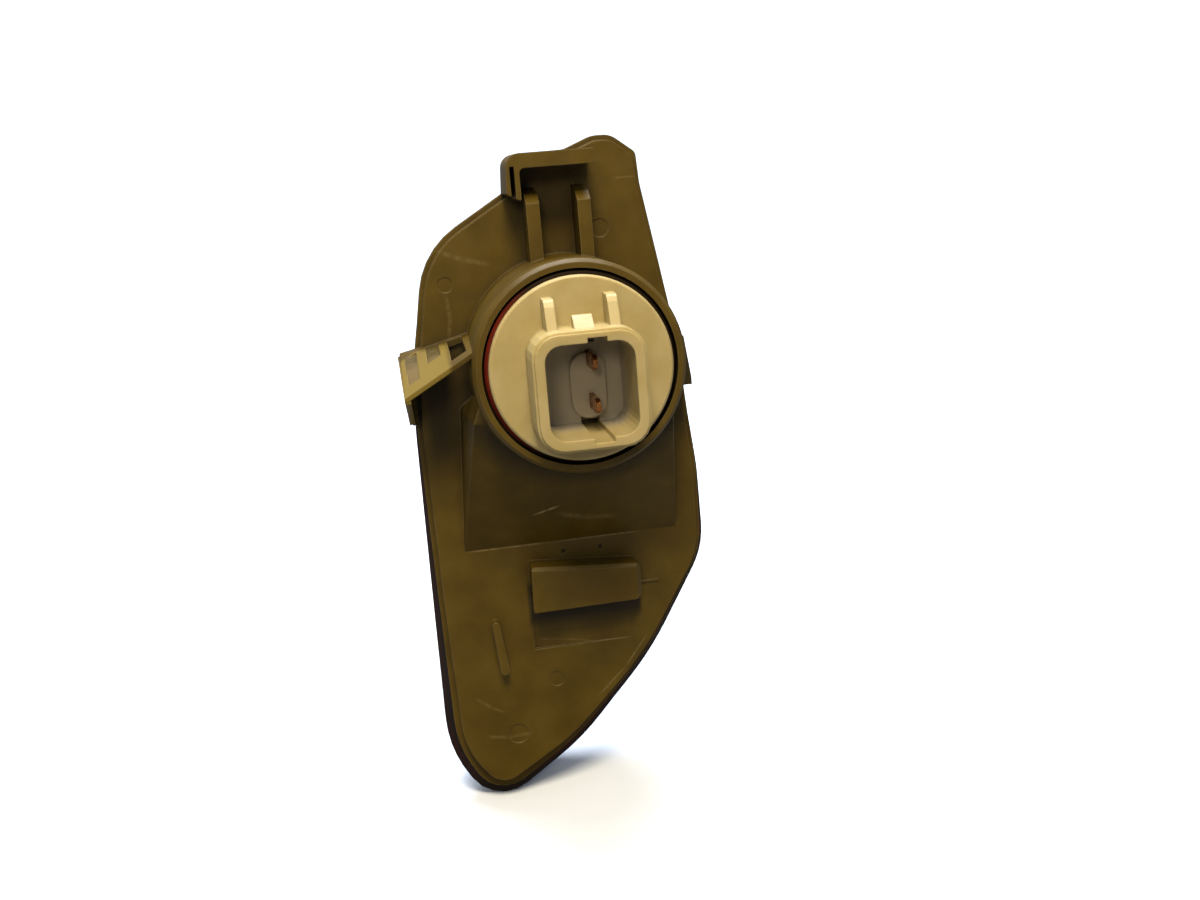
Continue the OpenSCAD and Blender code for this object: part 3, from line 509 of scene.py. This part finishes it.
class LAMP_OT_lens(bpy.types.Operator):
    """Make the smooth red lens"""

    bl_idname = "lamp.lens"
    bl_label = "Lens"

    def execute(self, context):
        c = context.scene.lamp_colours
        # Polished moulded acrylic, dyed right through: glossy deep red, nearly black at the thick welded rim
        material, tree, shader = blank(
            "polished_red_acrylic", IOR=1.49, Metallic=0.0, Roughness=0.04, Transmission_Weight=0.9
        )
        parts = split(tree, place(tree))
        rim = span(tree, parts["Y"], -7 * MM, -3 * MM)
        link(tree, between(tree, rim, rgba(c.lens), rgba(c.lens_rim)), shader, "Base Color")
        lens = smooth_copy("lens", "lens_smooth", 32)
        lens.data.materials.append(material)
        return {"FINISHED"}


class LAMP_OT_optics(bpy.types.Operator):
    """Finish the reflector and the reflex panel"""

    bl_idname = "lamp.optics"
    bl_label = "Reflector and reflex panel"

    def execute(self, context):
        c = context.scene.lamp_colours
        # Vacuum-coated aluminium over moulded resin: a bright mirror with a faint orange-peel wave
        coat, tree, shader = blank("coated_aluminium_mirror", Base_Color=rgba(c.coating), Metallic=1.0)
        link(tree, span(tree, cloud(tree, 4 * MM), 0.3, 0.7, 0.06, 0.13), shader, "Roughness")
        link(tree, bumped(tree, cloud(tree, 1.5 * MM), 0.05, 0.05 * MM), shader, "Normal")
        dress("reflector", coat)
        # Moulded red acrylic with polished prisms: painted glints, bright red in noise patches between dark ones
        reflex, tree, shader = blank("prismatic_red_acrylic", IOR=1.49, Metallic=0.0, Roughness=0.08)
        share = span(tree, cloud(tree, 2.5 * MM), 0.4, 0.6)
        link(tree, between(tree, share, rgba(c.reflex), rgba(c.lens)), shader, "Base Color")
        dress("reflex_panel", reflex)
        return {"FINISHED"}


# The plug cavity, painted lighter, and its key notch and slot, painted with shade: axis, low, high and fade in
# millimetres
PAINTED_LIGHT_BOX = (("Y", 10, 19, 8), ("X", -8.55, 8.55, 0.05), ("Z", -11.65, 6.45, 0.05))
NOTCHES = (
    (("X", -5.3, -1.6, 0.1), ("Y", 10, 22.3, 0.3), ("Z", 6.5, 9, 0.1)),
    (("X", -4.0, -0.2, 0.2), ("Y", 5, 13.6, 1.0), ("Z", -14, -11.7, 0.2)),
)
# Strength of the painted shade in the key notch and slot
NOTCH_SHADE = 0.85


class LAMP_OT_holder(bpy.types.Operator):
    """Finish the bulb holder and its seal"""

    bl_idname = "lamp.holder"
    bl_label = "Bulb holder and seal"

    def execute(self, context):
        c, s = context.scene.lamp_colours, context.scene.lamp_sizes
        # Glass-filled nylon, moulded: warm beige, a little glossier than the housing, with pale clouds of fibre
        material, tree, shader = moulded(
            "moulded_beige_nylon", c.holder, c.holder_pale, s.edge, s.grain * 0.8, s.cloud * 0.6, 0.4, 0.4
        )
        # Light gets a few millimetres into the nylon and softens the shadows on it
        shader.inputs["Subsurface Weight"].default_value = 0.35
        shader.inputs["Subsurface Scale"].default_value = 2.5 * MM
        shader.inputs["Subsurface Radius"].default_value = (1.0, 0.8, 0.45)
        # Painted light: inside the plug cavity the resin is painted a paler grey, as light reaching into it
        tint = shader.inputs["Base Color"].links[0].from_socket
        parts = split(tree, place(tree))
        tint = between(tree, boxed(tree, parts, 1.0, PAINTED_LIGHT_BOX), tint, rgba(c.painted_cavity_light))
        # Painted shade: the key notch at the top and the slot at the foot are narrow and deep, and are painted dark
        for spans in NOTCHES:
            tint = between(tree, boxed(tree, parts, NOTCH_SHADE, spans), tint, rgba(c.painted_shade))
        link(tree, tint, shader, "Base Color")
        dress("bulb_holder", material)
        # Moulded silicone: soft, slightly powdery red with no clear reflection
        seal, tree, shader = blank(
            "moulded_red_silicone", IOR=1.41, Metallic=0.0, Roughness=0.62, Specular_IOR_Level=0.2
        )
        grimy = span(tree, cloud(tree, 1.2 * MM), 0.3, 0.8, 0.0, 0.4)
        tint = between(tree, grimy, rgba(c.seal), rgba(c.seal_dirt_and_shade))
        # Painted shade: all but its left side is painted with the dark colour, as shade in the gap
        parts = split(tree, place(tree))
        shaded_side = span(tree, parts["X"], 9 * MM, 14.5 * MM, 1.0, 0.0)
        link(tree, between(tree, shaded_side, tint, rgba(c.seal_dirt_and_shade)), shader, "Base Color")
        dress("holder_seal", seal)
        return {"FINISHED"}


class LAMP_OT_terminals(bpy.types.Operator):
    """Finish the two terminals"""

    bl_idname = "lamp.terminals"
    bl_label = "Terminals"

    def execute(self, context):
        c = context.scene.lamp_colours
        # Stamped copper alloy: rolled along the strip, with warm tarnish in patches
        material, tree, shader = blank("stamped_copper_alloy", Metallic=1.0)
        tarnish = span(tree, cloud(tree, 1.6 * MM, 5.0), 0.42, 0.68)
        link(tree, between(tree, tarnish, rgba(c.blade), rgba(c.blade_dull)), shader, "Base Color")
        link(tree, span(tree, tarnish, 0, 1, 0.24, 0.46), shader, "Roughness")
        rolled = cloud(tree, 0.35 * MM, 2.0, (1, 0.08, 1))
        bevel = add(tree, "ShaderNodeBevel", {"Radius": 0.12 * MM}, samples=4).outputs["Normal"]
        link(tree, bumped(tree, rolled, 0.2, 0.02 * MM, bevel), shader, "Normal")
        for name in ("terminal_upper", "terminal_lower"):
            dress(name, material)
        return {"FINISHED"}


class LAMP_OT_bulb(bpy.types.Operator):
    """Finish the glass bulb, its wires and its filament"""

    bl_idname = "lamp.bulb"
    bl_label = "Bulb"

    def execute(self, context):
        c = context.scene.lamp_colours
        # Blown soda-lime glass: clear, with the faintest grey
        glass, tree, shader = blank(
            "blown_clear_glass", Base_Color=(0.97, 0.98, 0.98, 1), IOR=1.52, Metallic=0.0, Roughness=0.02,
            Transmission_Weight=1.0,
        )
        dress("bulb_glass", glass)
        # Drawn nickel wire: fine lines along the wire
        nickel, tree, shader = blank("drawn_nickel_wire", Base_Color=rgba(c.wire), Metallic=1.0)
        link(tree, span(tree, cloud(tree, 0.4 * MM, 2.0, (1, 0.1, 1)), 0.3, 0.7, 0.22, 0.4), shader, "Roughness")
        # Coiled tungsten: dark grey and half dull from drawing
        tungsten, tree, shader = blank("coiled_tungsten", Base_Color=rgba(c.filament), Metallic=1.0)
        link(tree, span(tree, cloud(tree, 0.5 * MM), 0.3, 0.7, 0.35, 0.55), shader, "Roughness")
        for name in ("bulb_post_left", "bulb_post_right", "bulb_lead_left", "bulb_lead_right"):
            dress(name, nickel)
        dress("bulb_filament", tungsten)
        return {"FINISHED"}


def soft_light(name, place_at, aim, size, watts, tint):
    """A round area light that looks at a point, in metres and watts."""
    data = bpy.data.lights.new(name, "AREA")
    data.shape = "DISK"
    data.size = size
    data.energy = watts
    data.color = tint
    light = bpy.data.objects.new(name, data)
    light.location = place_at
    light.rotation_euler = (Vector(aim) - Vector(place_at)).to_track_quat("-Z", "Y").to_euler()
    bpy.context.scene.collection.objects.link(light)


# Camera at the photograph's viewing angle, fitted to the flange and the outline
CAMERA_AT = (0.0344, 0.262, 0.0365)
CAMERA_RIGHT = (-0.9827, 0.1673, -0.0786)
CAMERA_BACK = (0.1474, 0.9659, 0.2129)
CAMERA_LENS, CAMERA_SENSOR = 38.1, 36.0

# Middle of the lamp, which the lights look at, and the point far behind it that the back light looks at
MIDDLE, BEHIND = (0, 0, -0.02), (0, -1.7, 0)

# Sides of the floor's circle, rings in its flat part, steps in degrees of its curve, and its gap to the lamp
FLOOR_TURNS, FLOOR_RINGS, FLOOR_BEND, FLOOR_GAP = 72, 4, range(10, 91, 10), 0.2 * MM


def sweep(radius, rise, level):
    """Mesh of a round floor that rises in one smooth curve into a pale surround."""
    profile = [(radius * (k + 1) / FLOOR_RINGS, 0.0) for k in range(FLOOR_RINGS)]
    for degrees in FLOOR_BEND:
        angle = math.radians(degrees)
        profile.append((radius + rise * math.sin(angle), rise * (1 - math.cos(angle))))
    turns = FLOOR_TURNS
    points = [
        (r * math.cos(2 * math.pi * i / turns), r * math.sin(2 * math.pi * i / turns), level + h)
        for r, h in profile
        for i in range(turns)
    ]
    faces = [list(range(turns))]
    for k in range(len(profile) - 1):
        low, high = k * turns, (k + 1) * turns
        for i in range(turns):
            j = (i + 1) % turns
            faces.append([low + i, high + i, high + j, low + j])
    mesh = bpy.data.meshes.new("floor")
    mesh.from_pydata(points, [], faces)
    mesh.polygons.foreach_set("use_smooth", [True] * len(mesh.polygons))
    return mesh


class LAMP_OT_stage(bpy.types.Operator):
    """Make the pale floor, the soft lights and the camera"""

    bl_idname = "lamp.stage"
    bl_label = "Studio"

    def execute(self, context):
        scene, studio = context.scene, context.scene.lamp_studio
        mesh = sweep(studio.floor_radius, studio.floor_rise, CAD_BOX[0][2] - FLOOR_GAP)
        floor = bpy.data.objects.new("floor", mesh)
        scene.collection.objects.link(floor)
        # Matt paper sweep: pale, no gloss, a trace of fibre
        paper, tree, shader = blank("matt_paper", IOR=1.45, Metallic=0.0, Roughness=0.9, Specular_IOR_Level=0.2)
        share = span(tree, cloud(tree, 6 * MM), 0.3, 0.7, 0.0, 0.3)
        pale = between(tree, share, rgba(studio.floor), rgba(studio.fibre))
        # The paper throws little light back up, so that undersides stay as dark as on a bench
        seen = add(tree, "ShaderNodeLightPath").outputs["Is Camera Ray"]
        link(tree, between(tree, seen, rgba(studio.bounce), pale), shader, "Base Color")
        mesh.materials.append(paper)

        world = bpy.data.worlds.new("surround")
        world.use_nodes = True
        back = world.node_tree.nodes["Background"]
        back.inputs["Color"].default_value = rgba(studio.sky)
        back.inputs["Strength"].default_value = studio.ambient
        scene.world = world

        soft_light("key", (0.05, 0.52, 0.69), MIDDLE, 0.3, studio.key, studio.warm)
        soft_light("fill", (0.14, 0.55, 0.2), MIDDLE, 0.12, studio.fill, studio.warm)
        soft_light("back", (0, -0.5, 1.4), BEHIND, 1.2, studio.back, (1.0, 1.0, 1.0))

        data = bpy.data.cameras.new("camera")
        data.sensor_width = CAMERA_SENSOR
        data.lens = CAMERA_LENS
        data.clip_start = 0.005
        camera = bpy.data.objects.new("camera", data)
        back_axis = Vector(CAMERA_BACK).normalized()
        up = back_axis.cross(Vector(CAMERA_RIGHT).normalized()).normalized()
        axes = Matrix((up.cross(back_axis), up, back_axis)).transposed().to_4x4()
        camera.matrix_world = Matrix.Translation(CAMERA_AT) @ axes
        scene.collection.objects.link(camera)
        scene.camera = camera
        scene.view_settings.view_transform = "Standard"
        return {"FINISHED"}


STEPS = ("housing", "bracket", "lens", "optics", "holder", "terminals", "bulb", "stage")


class LAMP_PT_panel(bpy.types.Panel):
    """Lists the lamp's sizes, colours and steps"""

    bl_label = "Rear bumper lamp"
    bl_idname = "LAMP_PT_panel"
    bl_space_type = "VIEW_3D"
    bl_region_type = "UI"
    bl_category = "Lamp"

    def draw(self, context):
        for step in STEPS:
            self.layout.operator(f"lamp.{step}")
        for group in (context.scene.lamp_colours, context.scene.lamp_sizes, context.scene.lamp_studio):
            column = self.layout.column(align=True)
            for key in group.bl_rna.properties.keys():
                if key not in ("rna_type", "name"):
                    column.prop(group, key)


CLASSES = (
    LampColours, LampSizes, StudioSettings,
    LAMP_OT_housing, LAMP_OT_bracket, LAMP_OT_lens, LAMP_OT_optics,
    LAMP_OT_holder, LAMP_OT_terminals, LAMP_OT_bulb, LAMP_OT_stage,
    LAMP_PT_panel,
)


def register():
    for cls in CLASSES:
        bpy.utils.register_class(cls)
    bpy.types.Scene.lamp_colours = bpy.props.PointerProperty(type=LampColours)
    bpy.types.Scene.lamp_sizes = bpy.props.PointerProperty(type=LampSizes)
    bpy.types.Scene.lamp_studio = bpy.props.PointerProperty(type=StudioSettings)


def unregister():
    del bpy.types.Scene.lamp_colours, bpy.types.Scene.lamp_sizes, bpy.types.Scene.lamp_studio
    for cls in reversed(CLASSES):
        bpy.utils.unregister_class(cls)


def main():
    register()
    for step in STEPS:
        getattr(bpy.ops.lamp, step)()


if __name__ == "__main__":
    main()
